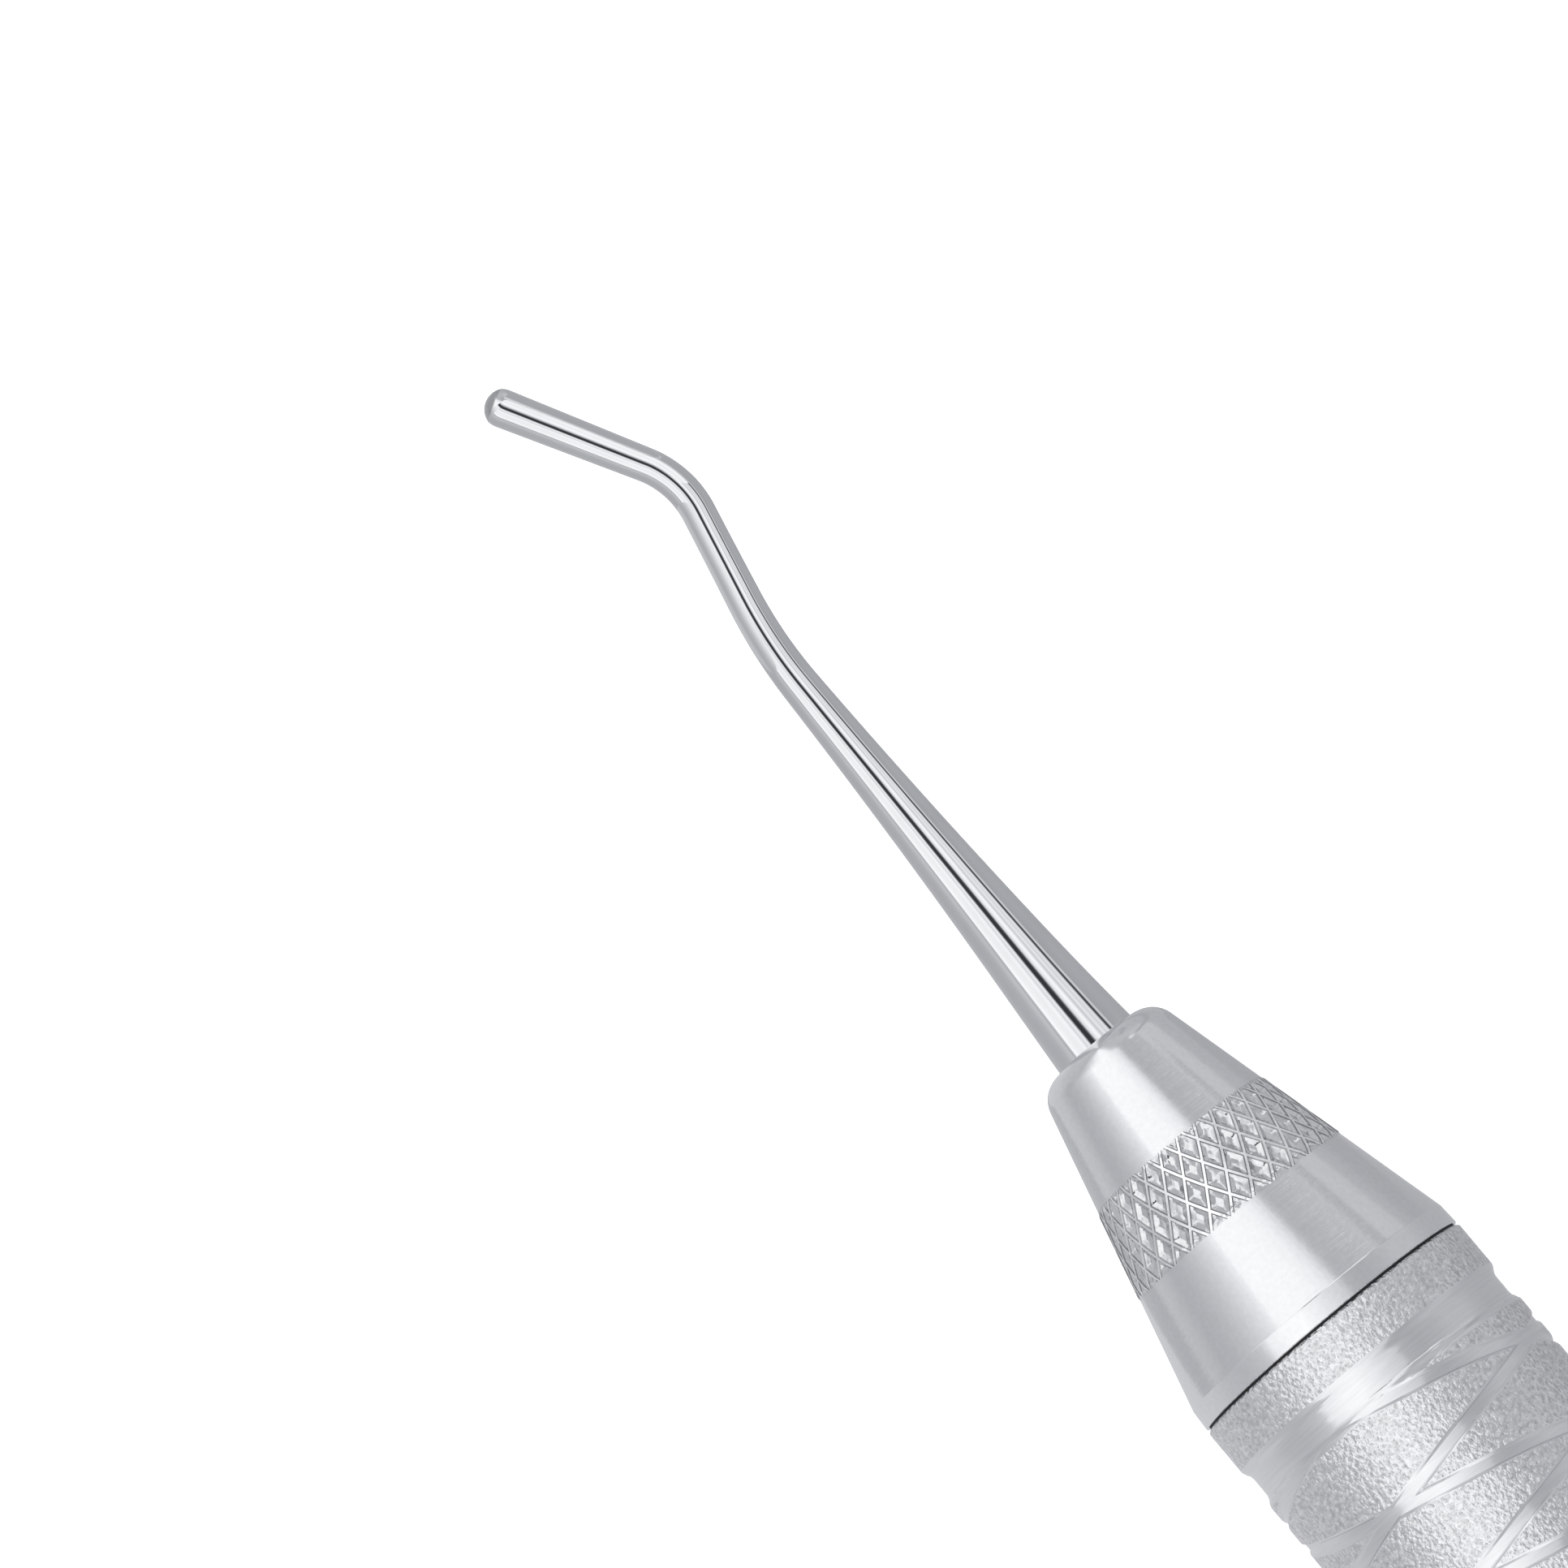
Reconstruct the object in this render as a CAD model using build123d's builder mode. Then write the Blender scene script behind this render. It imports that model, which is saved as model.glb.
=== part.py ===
from build123d import *
import os

# Double-ended dental elevator: a contra-angled, round-ended steel rod in each end of a large
# hollow handle.
# Frame: +X runs along the handle towards the front working end, +Z is up, and the origin is on
# the handle's axis, half way along the tube. Both ends bend in the XY plane. The rear end is the
# front one turned half a turn about Z, so the two ends point to opposite sides.
# All sizes are in millimetres.

# Handle tube
HANDLE_D = 10.0  # over the grip
WALL = 0.65
TUBE_LENGTH = 98.0
EDGE_BREAK = 0.06  # chamfer on the tube's two end corners
RING_LAND = 1.55  # plain land between the tube's end and its ring groove
RING_WIDTH = 1.45
RING_DEPTH = 0.155
RING_FLANK = 0.40  # length of each hollow flank of the ring groove

# Nose cone, measured back from its front face
CONE_LENGTH = 11.25
FACE_D = 4.45  # where the cone's slope meets the front face
FACE_ROUND = 0.95
BEVEL_AT = 10.55  # the slope ends here, in a nearly cylindrical bevel
BEVEL_D = 9.86
REAR_D = 9.93
KNURL_START = 3.98
KNURL_END = 6.94
KNURL_PROUD = 0.03  # height of the knurled band over the slope
KNURL_RAMP = 0.15
SPIGOT_LENGTH = 7.0
SPIGOT_D = HANDLE_D - 2 * WALL
SPIGOT_CHAMFER = 0.4
POCKET_D = 6.0  # lightening pocket in the back of the spigot
POCKET_DEPTH = 5.5

# Seal between cone and tube, a little below the surface
SEAL_THICKNESS = 0.09
SEAL_D = 9.70

# Working end: a straight tang in the cone, then the shank's centreline as four straight runs
TANG_D = 2.82
TANG_LENGTH = 12.0
TANG_CHAMFER = 0.3
NOSE_RUN = 2.0  # straight out of the cone
ROOT_RUN, ROOT_ANGLE = 13.89, -0.74
MID_RUN, MID_ANGLE = 5.81, -12.5
TIP_RUN, TIP_ANGLE = 6.48, 28.4  # up to the very end of the dome
ROOT_BEND, KNEE_BEND, ELBOW_BEND = 230.0, 15.8, 3.2

# Shank diameters: a parabolic taper down to a neck near the elbow, then a slight flare
TAPER_LENGTH = 20.6
FLARE_FROM = 22.7
STATION_STEP = 0.7
FRONT_NECK_D, FRONT_TIP_D = 1.08, 1.21
REAR_NECK_D, REAR_TIP_D = 1.40, 1.60

# Domed end, as shares of the tip's diameter
CROWN_R_SHARE = 0.54
CROWN_W_SHARE = 0.92
EDGE_SHARE = 0.21  # length of the rounded edge between the shank and the crown

FACE_X = TUBE_LENGTH / 2 + SEAL_THICKNESS + CONE_LENGTH
SHOULDER_X = FACE_X - CONE_LENGTH
HALF_TURN = (0, 0, 180)


def slope_radius(back):
    """Radius of the plain cone at a distance back from its front face."""
    return (FACE_D + (BEVEL_D - FACE_D) * back / BEVEL_AT) / 2


def dome_height(tip_d):
    """Height of the rounded edge and the crown together, for a tip of this diameter."""
    crown_r = CROWN_R_SHARE * tip_d
    half_width = CROWN_W_SHARE * tip_d / 2
    return EDGE_SHARE * tip_d + crown_r - (crown_r**2 - half_width**2) ** 0.5


def shank_diameter(along, length, neck_d, tip_d):
    """Diameter of the shank at a distance along its centreline."""
    taper = max(0.0, 1 - along / TAPER_LENGTH) ** 2
    flare = max(0.0, along - FLARE_FROM) / (length - FLARE_FROM)
    return neck_d + (TANG_D - neck_d) * taper + (tip_d - neck_d) * flare


def working_end(neck_d, tip_d):
    """Tang, tapered and bent shank, and domed end, as one solid pointing to +X."""
    crown_r = CROWN_R_SHARE * tip_d
    half_width = CROWN_W_SHARE * tip_d / 2
    edge = EDGE_SHARE * tip_d
    mouth = Vector(FACE_X, 0)
    root = mouth + Vector(NOSE_RUN, 0)
    knee = root + Vector(ROOT_RUN, 0).rotate(Axis.Z, ROOT_ANGLE)
    elbow = knee + Vector(MID_RUN, 0).rotate(Axis.Z, MID_ANGLE)
    foot = elbow + Vector(TIP_RUN - dome_height(tip_d), 0).rotate(Axis.Z, TIP_ANGLE)

    with BuildLine() as centreline:
        FilletPolyline(mouth, root, knee, elbow, foot, radius=[ROOT_BEND, KNEE_BEND, ELBOW_BEND])
    path = centreline.wire()
    stations = round(path.length / STATION_STEP)

    with BuildPart() as rod:
        with BuildSketch(Plane.YZ.offset(FACE_X - TANG_LENGTH)):
            Circle(TANG_D / 2)
        extrude(amount=TANG_LENGTH)
        chamfer(rod.edges().sort_by(Axis.X)[0], length=TANG_CHAMFER)

        for station in range(stations + 1):
            share = station / stations
            where = Plane(origin=path @ share, x_dir=(0, 0, 1), z_dir=path % share)
            with BuildSketch(where):
                Circle(shank_diameter(share * path.length, path.length, neck_d, tip_d) / 2)
        loft()

        with BuildSketch(Plane(origin=foot, x_dir=path % 1, z_dir=(0, 0, 1))):
            with BuildLine():
                Line((0, 0), (0, tip_d / 2))
                TangentArc((0, tip_d / 2), (edge, half_width), tangent=(1, 0))
                RadiusArc((edge, half_width), (dome_height(tip_d), 0), crown_r)
                Line((dome_height(tip_d), 0), (0, 0))
            make_face()
        revolve(axis=Axis(foot, path % 1))
    return rod.part


os.makedirs("parts", exist_ok=True)

# Handle tube: thin and hollow, with a hollow-flanked ring groove near each end. The profile is
# its upper front quarter.
outer_r = HANDLE_D / 2
inner_r = outer_r - WALL
floor_r = outer_r - RING_DEPTH
tube_end = TUBE_LENGTH / 2
ring_front = tube_end - RING_LAND
ring_back = ring_front - RING_WIDTH

with BuildPart() as handle_tube:
    with BuildSketch():
        with BuildLine():
            Polyline((ring_back, outer_r), (0, outer_r), (0, inner_r), (tube_end, inner_r))
            Line((tube_end, inner_r), (tube_end, outer_r - EDGE_BREAK))
            Line((tube_end, outer_r - EDGE_BREAK), (tube_end - EDGE_BREAK, outer_r))
            Line((tube_end - EDGE_BREAK, outer_r), (ring_front, outer_r))
            TangentArc((ring_front - RING_FLANK, floor_r), (ring_front, outer_r), tangent=(1, 0))
            Line((ring_front - RING_FLANK, floor_r), (ring_back + RING_FLANK, floor_r))
            TangentArc((ring_back + RING_FLANK, floor_r), (ring_back, outer_r), tangent=(-1, 0))
        make_face()
    revolve(axis=Axis.X)
    mirror(about=Plane.YZ)
handle_tube.part.label = "handle_tube"
export_step(handle_tube.part, "parts/handle_tube.step")

# Nose cone: rounded face, slope with a raised knurled band, rear bevel, and a spigot pressed
# into the tube. The tang's bore opens into a wider pocket at the back.
bore_r = TANG_D / 2
spigot_r = SPIGOT_D / 2
pocket_r = POCKET_D / 2
spigot_end = SHOULDER_X - SPIGOT_LENGTH
band_front = KNURL_START + KNURL_RAMP
band_back = KNURL_END - KNURL_RAMP

with BuildPart() as front_nose_cone:
    with BuildSketch() as cone_profile:
        with BuildLine():
            Polyline(
                (FACE_X, bore_r),
                (FACE_X, FACE_D / 2),
                (FACE_X - KNURL_START, slope_radius(KNURL_START)),
                (FACE_X - band_front, slope_radius(band_front) + KNURL_PROUD),
                (FACE_X - band_back, slope_radius(band_back) + KNURL_PROUD),
                (FACE_X - KNURL_END, slope_radius(KNURL_END)),
                (FACE_X - BEVEL_AT, BEVEL_D / 2),
                (SHOULDER_X, REAR_D / 2),
                (SHOULDER_X, spigot_r),
                (spigot_end + SPIGOT_CHAMFER, spigot_r),
                (spigot_end, spigot_r - SPIGOT_CHAMFER),
                (spigot_end, pocket_r),
                (spigot_end + POCKET_DEPTH, pocket_r),
                (spigot_end + POCKET_DEPTH, bore_r),
                close=True,
            )
        make_face()
        face_corner = cone_profile.vertices().group_by(Axis.X)[-1].sort_by(Axis.Y)[-1]
        fillet(face_corner, radius=FACE_ROUND)
    revolve(axis=Axis.X)
front_nose_cone.part.label = "front_nose_cone"
export_step(front_nose_cone.part, "parts/front_nose_cone.step")

# Seal: a thin gasket round the spigot, squeezed between the cone's shoulder and the tube
with BuildPart() as front_seal_ring:
    with BuildSketch(Plane.YZ.offset(tube_end)):
        Circle(SEAL_D / 2)
        Circle(spigot_r, mode=Mode.SUBTRACT)
    extrude(amount=SEAL_THICKNESS)
front_seal_ring.part.label = "front_seal_ring"
export_step(front_seal_ring.part, "parts/front_seal_ring.step")

with BuildPart() as front_working_end:
    add(working_end(FRONT_NECK_D, FRONT_TIP_D))
front_working_end.part.label = "front_working_end"
export_step(front_working_end.part, "parts/front_working_end.step")

# Rear end: the same cone and seal turned half a turn, and a thicker working end
with BuildPart() as rear_nose_cone:
    add(front_nose_cone.part, rotation=HALF_TURN)
rear_nose_cone.part.label = "rear_nose_cone"
export_step(rear_nose_cone.part, "parts/rear_nose_cone.step")

with BuildPart() as rear_seal_ring:
    add(front_seal_ring.part, rotation=HALF_TURN)
rear_seal_ring.part.label = "rear_seal_ring"
export_step(rear_seal_ring.part, "parts/rear_seal_ring.step")

with BuildPart() as rear_working_end:
    add(working_end(REAR_NECK_D, REAR_TIP_D), rotation=HALF_TURN)
rear_working_end.part.label = "rear_working_end"
export_step(rear_working_end.part, "parts/rear_working_end.step")
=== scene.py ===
import math

import bmesh
import bpy
import numpy as np
from mathutils import Matrix, Vector


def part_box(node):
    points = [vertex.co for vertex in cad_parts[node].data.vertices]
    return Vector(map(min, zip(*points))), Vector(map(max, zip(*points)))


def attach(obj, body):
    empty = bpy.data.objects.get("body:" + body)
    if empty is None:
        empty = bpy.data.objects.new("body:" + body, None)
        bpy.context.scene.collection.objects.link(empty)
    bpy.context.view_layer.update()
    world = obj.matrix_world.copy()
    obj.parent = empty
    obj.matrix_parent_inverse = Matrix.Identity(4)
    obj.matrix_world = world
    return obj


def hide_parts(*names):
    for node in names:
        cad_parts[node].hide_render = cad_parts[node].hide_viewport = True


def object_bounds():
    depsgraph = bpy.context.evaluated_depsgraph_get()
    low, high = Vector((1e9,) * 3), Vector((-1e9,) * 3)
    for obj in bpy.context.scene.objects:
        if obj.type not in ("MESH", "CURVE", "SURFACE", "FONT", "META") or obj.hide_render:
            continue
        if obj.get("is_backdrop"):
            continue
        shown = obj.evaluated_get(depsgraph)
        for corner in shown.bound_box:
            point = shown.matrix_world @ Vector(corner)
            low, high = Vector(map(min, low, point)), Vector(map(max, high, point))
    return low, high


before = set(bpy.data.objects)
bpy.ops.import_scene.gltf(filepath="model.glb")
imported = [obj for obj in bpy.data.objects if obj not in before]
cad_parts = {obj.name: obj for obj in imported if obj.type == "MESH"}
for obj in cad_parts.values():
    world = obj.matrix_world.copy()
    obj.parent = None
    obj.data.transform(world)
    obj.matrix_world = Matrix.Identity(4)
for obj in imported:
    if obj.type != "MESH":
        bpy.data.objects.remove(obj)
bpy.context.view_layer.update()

# Metres throughout. The handle lies along X, the front working end points to +X, and an angle
# round the handle is counted from +Z towards -Y.
MM = 0.001

# Handle tube
TUBE_LOW, TUBE_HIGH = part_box("handle_tube")
HANDLE_R = TUBE_HIGH.z
TUBE_LENGTH = TUBE_HIGH.x - TUBE_LOW.x
BORE_R = 4.35 * MM
BORE_MOUTH = 6.0 * MM  # depth of the last ring in a bore's mouth, before its long plain middle
EDGE_BREAK = 0.06 * MM
RING_LAND = 1.55 * MM
RING_WIDTH = 1.45 * MM
RING_DEPTH = 0.155 * MM
RING_FLANK = 0.40 * MM
FLANK_ROWS = 7

# Crossing grip grooves: two starts of each hand
LEAD = 6.5 * MM
STARTS = 2
GROOVE_WIDTH = 0.52 * MM  # along the handle
GROOVE_DEPTH = 0.085 * MM
GROOVE_FLOOR = 0.55  # share of the width that is at full depth
GROOVE_LINES = (-1.0, -0.87, -0.74, -0.6, -0.25, 0.25, 0.6, 0.74, 0.87, 1.0)  # in half widths
LAND_CELLS = 16
CROSSING_AT = 4.15 * MM  # behind the tube's front end
CROSSING_ANGLE = math.radians(64)
TUBE_OVERRUN = 0.4 * MM  # woven beyond the tube's two ends, then cut off

# Nose cone, measured back from its front face
FACE_D = 4.45 * MM
FACE_ROUND = 0.95 * MM
BEVEL_AT = 10.55 * MM
BEVEL_D = 9.86 * MM
REAR_D = 9.93 * MM
CONE_LENGTH = 11.25 * MM
SPIGOT_LENGTH = 7.0 * MM
SHOULDER_BREAK = 0.03 * MM  # chamfer on the cone's rear corner
CREASE = 0.01 * MM  # between the rows that keep the bevel's start sharp
RIM_STEP = 0.025 * MM  # between the rows that keep the knurled band's edges sharp
NOSE_RINGS = 13
FRONT_ROWS = (3.4 * MM, 2.2 * MM)
REAR_ROW = 8.4 * MM

# Knurled band: ridges of two hands, with a diamond pit between them. Widths across a ridge are
# in degrees round the cone, counted from the ridge's middle.
KNURL_START = 3.98 * MM
KNURL_END = 6.94 * MM
KNURL_PROUD = 0.03 * MM
KNURL_RAMP = 0.15 * MM
KNURL_DEPTH = 0.12 * MM
KNURL_LINES = 30
KNURL_PITCH = 0.654 * MM  # between one column of crossings and the next
KNURL_CROSSING_AT = 5.083 * MM
KNURL_CROSSING_ANGLE = math.radians(3.1)
KNURL_OVERRUN = 0.3 * MM
RIDGE_HALF = 0.70  # half a ridge's flat top
SHOULDER_END = 1.30  # where its steep shoulder ends
WALL_MIDDLE = 2.9
FACET_END = 3.9  # where the wall below it meets the small flat in the middle of the pit
FLAT_ROW = 5.1
SHOULDER_SHARE = 0.3  # of the pit's depth
RAMP_ROWS = (0.35, 0.7, 1.0, 1.35, 1.7)  # rows near the band's edges, in ramp lengths
RAGGED = 0.05 * MM  # how far the knurl stops short of its band's edges, on average
RAGGED_WAVES = (41, 67)  # waves round the cone
PIT_VARIES = 0.08  # share of its depth by which one pit differs from the next
PIT_MIX = (131, 17, 12.9898)  # turns a pit's place in the two families into a scattered number
BURR = 0.009 * MM  # unevenness of the pits' walls
BURR_WAVES = (1.1, 1.4)  # radians per degree across each family
BURR_SHIFTS = (4.5, 3.5)

# Working end's centreline, from the cone's face, as runs of (length, bearing in degrees)
TANG_R = 1.41 * MM
TANG_LENGTH = 12.0 * MM
TANG_CHAMFER = 0.3 * MM
NOSE_RUN = 2.0 * MM
RUNS = ((13.89 * MM, -0.74), (5.81 * MM, -12.5), (6.48 * MM, 28.4))
BENDS = (230.0 * MM, 15.8 * MM, 3.2 * MM)
TAPER_LENGTH = 20.6 * MM
FLARE_FROM = 22.7 * MM
FRONT_NECK_D, FRONT_TIP_D = 1.08 * MM, 1.21 * MM
REAR_NECK_D, REAR_TIP_D = 1.40 * MM, 1.60 * MM
CROWN_R_SHARE = 0.54
CROWN_W_SHARE = 0.92
EDGE_SHARE = 0.21
ROD_SIDES = 96
ROW_STEP = 0.09 * MM
EDGE_RINGS, CROWN_RINGS = 6, 14

# Mesh work
SHARP_ANGLE = math.radians(22)
CUT_REACH = 4.0 * MM  # a cut leaves faces further away than this alone
CUT_SNAP = 1e-8
SAME_PLACE = 1e-7


# ---------------------------------------------------------------- helpers

def ring_point(x, r, angle):
    """A point at distance r from the handle's axis, at an angle from +Z towards -Y."""
    return np.stack([x + 0 * angle, -r * np.sin(angle), r * np.cos(angle)], axis=-1)


def smooth(low, high, value):
    """Smooth step from 0 to 1."""
    t = np.clip((value - low) / (high - low), 0, 1)
    return t * t * (3 - 2 * t)


def piece(name, mesh, materials, stands_for, finish=None):
    """A smooth-shaded object that rides on the root and stands for one CAD node.

    finish gives each face's material; without it, the mesh already has them.
    """
    for material in materials:
        mesh.materials.append(material)
    if finish is not None:
        mesh.polygons.foreach_set("material_index", finish)
    mesh.polygons.foreach_set("use_smooth", [True] * len(mesh.polygons))
    mesh.set_sharp_from_angle(angle=SHARP_ANGLE)
    mesh.update()
    obj = bpy.data.objects.new(name, mesh)
    bpy.context.scene.collection.objects.link(obj)
    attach(obj, "root")
    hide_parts(stands_for)
    return obj


def lattice(offsets, period, starts, twist, cross_at, cross_angle, start, end, radius):
    """A skin woven from two families of helices, as a bmesh round +X with x = -distance.

    offsets are the lines in one period of either family. The quads lie with their short
    diagonal along the axis, so that the skin stays round.
    """
    per_turn = len(offsets) * starts
    low = (cross_angle - twist * cross_at) % period
    high = (cross_angle + twist * cross_at) % period
    line = np.array([offsets[i % len(offsets)] + period * (i // len(offsets)) for i in range(per_turn)])

    def value(base, i):
        return base + line[i % per_turn] + 2 * math.pi * (i // per_turn)

    index, verts, faces = {}, [], []

    def corner(i, j):
        turn = i // per_turn
        key = (i - turn * per_turn, j - turn * per_turn)
        if key not in index:
            a, b = value(low, key[0]), value(high, key[1])
            index[key] = len(verts)
            angle, distance = (a + b) / 2, (b - a) / (2 * twist)
            r = radius(distance)
            verts.append((-distance, -r * math.sin(angle), r * math.cos(angle)))
        return index[key]

    # The second family runs on for enough turns to meet the first all the way from start to end
    reach = 2 * twist * end / (2 * math.pi)
    for i in range(per_turn):
        for j in range(-2 * per_turn, int((reach + 3) * per_turn)):
            gap = value(high, j) + value(high, j + 1) - value(low, i) - value(low, i + 1)
            middle = gap / (4 * twist)
            if start < middle < end:
                faces.append((corner(i + 1, j), corner(i + 1, j + 1), corner(i, j + 1), corner(i, j)))
    mesh = bpy.data.meshes.new("lattice")
    mesh.from_pydata(verts, [], faces)
    woven = bmesh.new()
    woven.from_mesh(mesh)
    bpy.data.meshes.remove(mesh)
    return woven


def cut(woven, distance, drop=0):
    """Cuts the skin square across; drop removes what is in front (-1) or behind (1)."""
    faces = [f for f in woven.faces if drop or abs(f.calc_center_median().x + distance) < CUT_REACH]
    geometry = dict.fromkeys(faces)  # unlike a set, it keeps its order, so every run cuts alike
    for f in faces:
        geometry.update(dict.fromkeys([*f.edges, *f.verts]))
    bmesh.ops.bisect_plane(
        woven,
        geom=list(geometry),
        dist=CUT_SNAP,
        plane_co=(-distance, 0, 0),
        plane_no=(1, 0, 0),
        clear_outer=drop == -1,
        clear_inner=drop == 1,
    )


def places(woven):
    """Each vertex's distance behind the skin's front end, and its angle round the axis."""
    woven.verts.ensure_lookup_table()
    co = np.array([v.co for v in woven.verts])
    return -co[:, 0], np.arctan2(-co[:, 1], co[:, 2])


def place(woven, points):
    """Moves every vertex to its new point."""
    for v, point in zip(woven.verts, points):
        v.co = point


def rim(woven, x):
    """The open edges at this x."""
    return [
        e for e in woven.edges
        if e.is_boundary and all(abs(v.co.x - x) < SAME_PLACE for v in e.verts)
    ]


def grow(woven, edges, profile):
    """Extrudes an open rim through a lathe profile of (x, radius); returns the new rim."""
    for x, r in profile:
        new = bmesh.ops.extrude_edge_only(woven, edges=edges)["geom"]
        for v in new:
            if isinstance(v, bmesh.types.BMVert):
                length = math.hypot(v.co.y, v.co.z)
                v.co = (x, v.co.y / length * r, v.co.z / length * r)
        edges = [e for e in new if isinstance(e, bmesh.types.BMEdge)]
    return edges


def finished(woven, name):
    """The closed skin as a mesh, with its faces pointing outwards."""
    bmesh.ops.recalc_face_normals(woven, faces=woven.faces)
    mesh = bpy.data.meshes.new(name)
    woven.to_mesh(mesh)
    woven.free()
    return mesh


# ---------------------------------------------------------------- materials

STEEL = (0.782, 0.786, 0.795)
RUBBER_BLACK = (0.012, 0.012, 0.013)
NOISE_LOW, NOISE_HIGH = 0.3, 0.7  # where most of a noise's values lie


def new_material(name, colour, roughness):
    """A metal with its nodes and links, ready for detail."""
    material = bpy.data.materials.new(name)
    material.use_nodes = True
    nodes, links = material.node_tree.nodes, material.node_tree.links
    shader = nodes["Principled BSDF"]
    shader.inputs["Base Color"].default_value = (*colour, 1)
    shader.inputs["Metallic"].default_value = 1
    shader.inputs["Roughness"].default_value = roughness
    return material, nodes, links, shader


def noise(nodes, links, scale, stretch=(1, 1, 1), detail=3.0):
    """Noise that stays with the object: scale counts features per metre, stretch squeezes them."""
    where = nodes.new("ShaderNodeTexCoord")
    mapping = nodes.new("ShaderNodeMapping")
    mapping.inputs["Scale"].default_value = stretch
    texture = nodes.new("ShaderNodeTexNoise")
    texture.inputs["Scale"].default_value = scale
    texture.inputs["Detail"].default_value = detail
    links.new(where.outputs["Object"], mapping.inputs["Vector"])
    links.new(mapping.outputs["Vector"], texture.inputs["Vector"])
    return texture.outputs["Fac"]


def spread(nodes, links, source, low, high):
    """Maps a noise onto a range."""
    node = nodes.new("ShaderNodeMapRange")
    node.inputs["From Min"].default_value = NOISE_LOW
    node.inputs["From Max"].default_value = NOISE_HIGH
    node.inputs["To Min"].default_value = low
    node.inputs["To Max"].default_value = high
    links.new(source, node.inputs["Value"])
    return node.outputs["Result"]


def bump(nodes, links, source, height, strength, below=None):
    """A relief of this height in metres from a noise, on top of another relief if there is one."""
    node = nodes.new("ShaderNodeBump")
    node.inputs["Strength"].default_value = strength
    node.inputs["Distance"].default_value = height
    links.new(source, node.inputs["Height"])
    if below is not None:
        links.new(below, node.inputs["Normal"])
    return node.outputs["Normal"]


def tint(nodes, links, source, dark, light, colour=STEEL):
    """A colour that drifts with a noise between a darker and a lighter share of itself."""
    ramp = nodes.new("ShaderNodeValToRGB")
    stops = zip(ramp.color_ramp.elements, (NOISE_LOW, NOISE_HIGH), (dark, light))
    for element, position, share in stops:
        element.position = position
        element.color = (*[share * part for part in colour], 1)
    links.new(source, ramp.inputs["Fac"])
    return ramp.outputs["Color"]


def polished_steel():
    """Mirror-polished rod: very fine lengthwise polishing lines and a faint drift in gloss."""
    material, nodes, links, shader = new_material("polished_steel", STEEL, 0.05)
    drift = noise(nodes, links, 900)
    lines = noise(nodes, links, 1, stretch=(400, 14000, 14000), detail=2)
    links.new(spread(nodes, links, drift, low=0.02, high=0.045), shader.inputs["Roughness"])
    links.new(tint(nodes, links, drift, dark=0.98, light=1.02), shader.inputs["Base Color"])
    links.new(bump(nodes, links, lines, height=1e-6, strength=0.3), shader.inputs["Normal"])
    return material


def turned_steel():
    """Satin cone: faint turning lines round it, and a fine speckle."""
    material, nodes, links, shader = new_material("turned_satin_steel", STEEL, 0.12)
    speckle = noise(nodes, links, 6000)
    lines = noise(nodes, links, 1, stretch=(22000, 260, 260), detail=3)
    links.new(spread(nodes, links, lines, low=0.08, high=0.15), shader.inputs["Roughness"])
    links.new(tint(nodes, links, speckle, dark=1.01, light=1.06), shader.inputs["Base Color"])
    ripple = bump(nodes, links, speckle, height=3e-6, strength=0.5)
    turning = bump(nodes, links, lines, height=1.2e-6, strength=0.7, below=ripple)
    links.new(turning, shader.inputs["Normal"])
    return material


def blasted_steel():
    """Bead-blasted lands: overlapping shallow dents about 0.15 mm across."""
    material, nodes, links, shader = new_material("blasted_steel", STEEL, 0.25)
    grain = noise(nodes, links, 7200, detail=2.5)
    fine = noise(nodes, links, 15000, detail=1.0)
    links.new(spread(nodes, links, grain, low=0.22, high=0.30), shader.inputs["Roughness"])
    links.new(tint(nodes, links, grain, dark=0.75, light=1.14), shader.inputs["Base Color"])
    rough = bump(nodes, links, fine, height=6e-6, strength=0.4)
    dents = bump(nodes, links, grain, height=7.5e-5, strength=1.0, below=rough)
    links.new(dents, shader.inputs["Normal"])
    return material


def groove_steel():
    """Bright-cut grooves: smooth, streaked by the tool's lines round the handle."""
    material, nodes, links, shader = new_material("bright_cut_steel", STEEL, 0.12)
    lines = noise(nodes, links, 1, stretch=(9000, 420, 420), detail=2)
    drift = noise(nodes, links, 800)
    links.new(spread(nodes, links, drift, low=0.07, high=0.14), shader.inputs["Roughness"])
    links.new(tint(nodes, links, lines, dark=0.96, light=1.035), shader.inputs["Base Color"])
    links.new(bump(nodes, links, lines, height=5e-6, strength=0.7), shader.inputs["Normal"])
    return material


def painted_light_steel(name, share, roughness):
    """Steel painted brighter or duller than the rest by this share, as a painted highlight or painted
    shade, with a fine grain.
    """
    colour = [share * part for part in STEEL]
    material, nodes, links, shader = new_material(name, colour, roughness)
    grain = noise(nodes, links, 9000)
    gloss = spread(nodes, links, grain, low=roughness - 0.05, high=roughness + 0.05)
    links.new(gloss, shader.inputs["Roughness"])
    links.new(tint(nodes, links, grain, dark=0.93, light=1.05, colour=colour), shader.inputs["Base Color"])
    links.new(bump(nodes, links, grain, height=4e-6, strength=0.5), shader.inputs["Normal"])
    return material


def seal_rubber():
    """Matt black rubber."""
    material, nodes, links, shader = new_material("seal_rubber", RUBBER_BLACK, 0.7)
    shader.inputs["Metallic"].default_value = 0
    grain = noise(nodes, links, 9000, detail=2)
    mottle = tint(nodes, links, grain, dark=0.7, light=1.5, colour=RUBBER_BLACK)
    links.new(mottle, shader.inputs["Base Color"])
    links.new(spread(nodes, links, grain, low=0.6, high=0.8), shader.inputs["Roughness"])
    links.new(bump(nodes, links, grain, height=1e-5, strength=0.5), shader.inputs["Normal"])
    return material


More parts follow.
